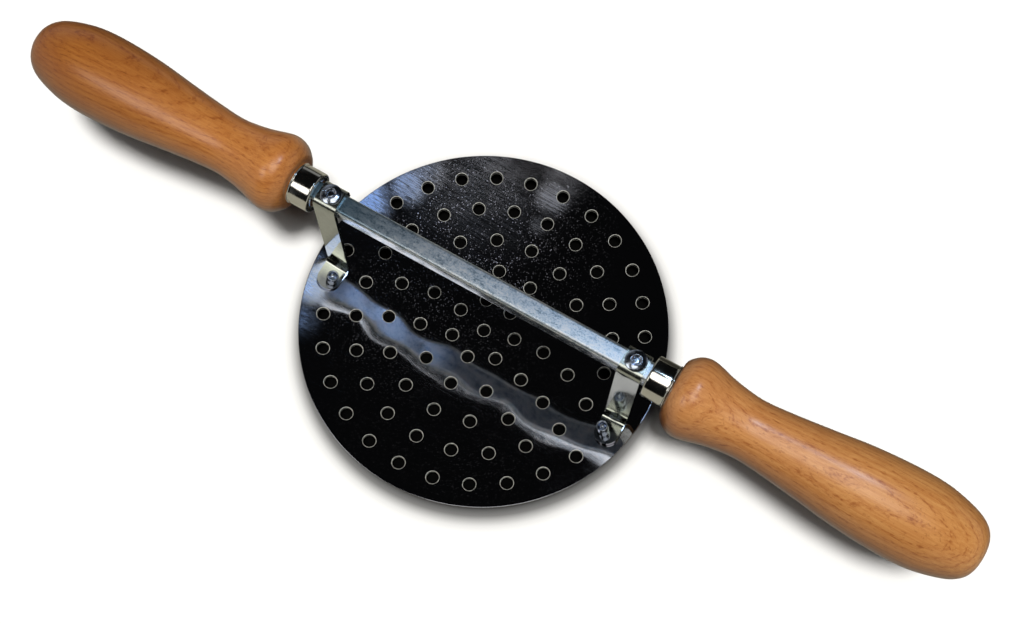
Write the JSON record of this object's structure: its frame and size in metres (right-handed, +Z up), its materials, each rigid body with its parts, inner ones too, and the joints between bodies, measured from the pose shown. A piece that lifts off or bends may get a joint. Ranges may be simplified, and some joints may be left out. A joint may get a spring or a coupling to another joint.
{
  "type": "hand-held dough press",
  "caption": "Perforated dished steel disc on two riveted straps under a square crossbar with a turned wooden handle at each end, pushed down on dough to press it into strands.",
  "frame": {"origin": "middle of the flat land under the disc, which is the lowest point of the part and the middle of its footprint", "axes": "+X along the crossbar to the right handle, +Z up from the disc to the crossbar, -Y towards the side that the feet point to"},
  "size_m": [0.4294, 0.16, 0.081],
  "materials": {
    "polished_disc": "mirror-polished stainless steel with fine scratches",
    "zinc_plate": "satin zinc plating, mottled",
    "strap_steel": "polished stainless steel",
    "rivet_steel": "bright plated steel",
    "nickel_plate": "bright nickel plating",
    "varnished_beech": "semi-gloss varnish on warm orange-brown beech"
  },
  "bodies": {
    "root": {"perforated_disc": "polished_disc", "crossbar": "zinc_plate", "left_bracket": "strap_steel", "right_bracket": "strap_steel", "left_bar_rivet": "rivet_steel", "left_bar_rivet_mandrel": "rivet_steel", "right_bar_rivet": "rivet_steel", "right_bar_rivet_mandrel": "rivet_steel", "left_foot_rivet": "rivet_steel", "left_foot_rivet_mandrel": "rivet_steel", "right_foot_rivet": "rivet_steel", "right_foot_rivet_mandrel": "rivet_steel", "left_ferrule": "nickel_plate", "right_ferrule": "nickel_plate", "left_handle": "varnished_beech", "right_handle": "varnished_beech"}
  },
  "joints": []
}
